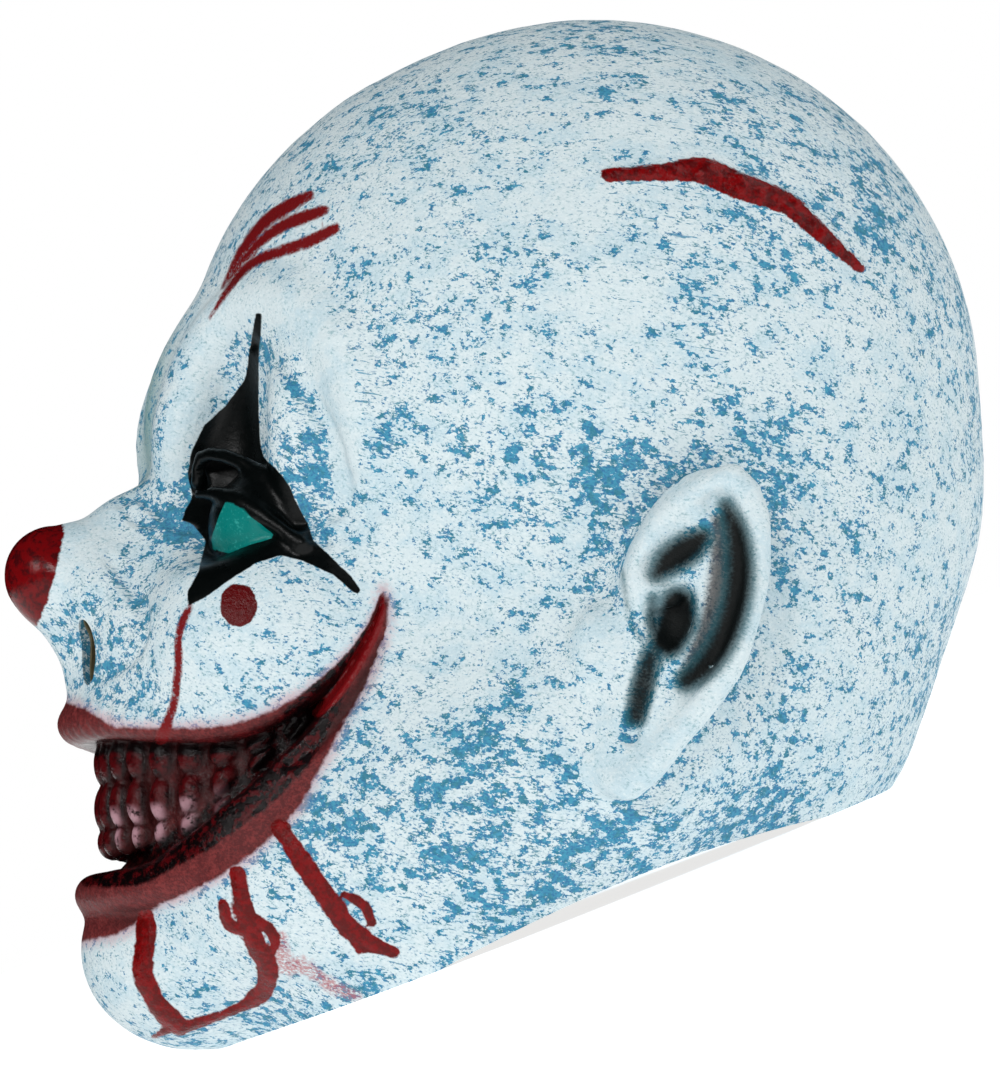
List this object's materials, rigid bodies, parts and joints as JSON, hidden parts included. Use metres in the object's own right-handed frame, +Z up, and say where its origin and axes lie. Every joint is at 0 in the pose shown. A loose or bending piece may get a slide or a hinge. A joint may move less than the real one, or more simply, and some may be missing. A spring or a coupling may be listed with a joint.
{
  "type": "full-head clown mask",
  "caption": "Hollow over-the-head mask with a grotesque clown face, open mouth with teeth, round nose, cast ears, eye slots and an open neck.",
  "frame": {"origin": "middle of the bounding box on the plane that the neck rim stands on", "axes": "+Z up through the crown, -Y out of the face, +X to the mask's own left ear"},
  "size_m": [0.2248, 0.2948, 0.2326],
  "materials": {
    "latex": "matt cast latex, painted in thin pale blue and white layers"
  },
  "bodies": {
    "root": {"clown_mask": "latex"}
  },
  "joints": []
}
